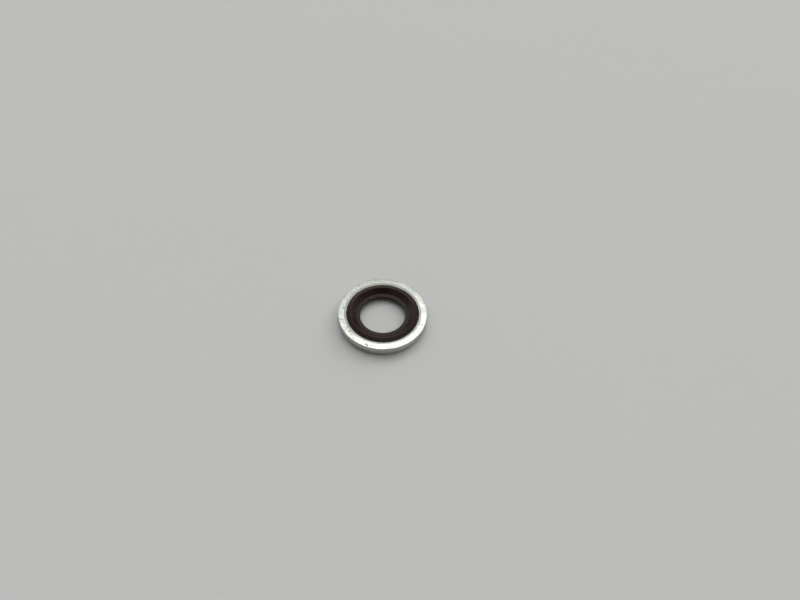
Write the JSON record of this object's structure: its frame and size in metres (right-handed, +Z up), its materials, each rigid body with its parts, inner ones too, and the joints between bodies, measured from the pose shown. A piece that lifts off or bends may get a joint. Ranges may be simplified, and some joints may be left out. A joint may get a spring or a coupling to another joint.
{
  "type": "bonded sealing washer",
  "caption": "Flat plated steel ring with a brown rubber seal moulded into its bore, proud of both faces, and a thin web that centres it on a threaded shank.",
  "frame": {"origin": "on the washer's axis, on the surface that it lies on, which its lower sealing lip touches", "axes": "+Z up along the axis that the screw or union passes along; X and Y are alike, as both pieces are round"},
  "size_m": [0.016, 0.016, 0.0019],
  "materials": {
    "zinc_plated_steel": "bright zinc plate on stamped steel, with fine scratches, small pits and dull patches",
    "brown_rubber": "dark red-brown moulded fluororubber, satin, with a little dust"
  },
  "bodies": {
    "root": {"steel_ring": "zinc_plated_steel", "rubber_seal": "brown_rubber"}
  },
  "joints": []
}
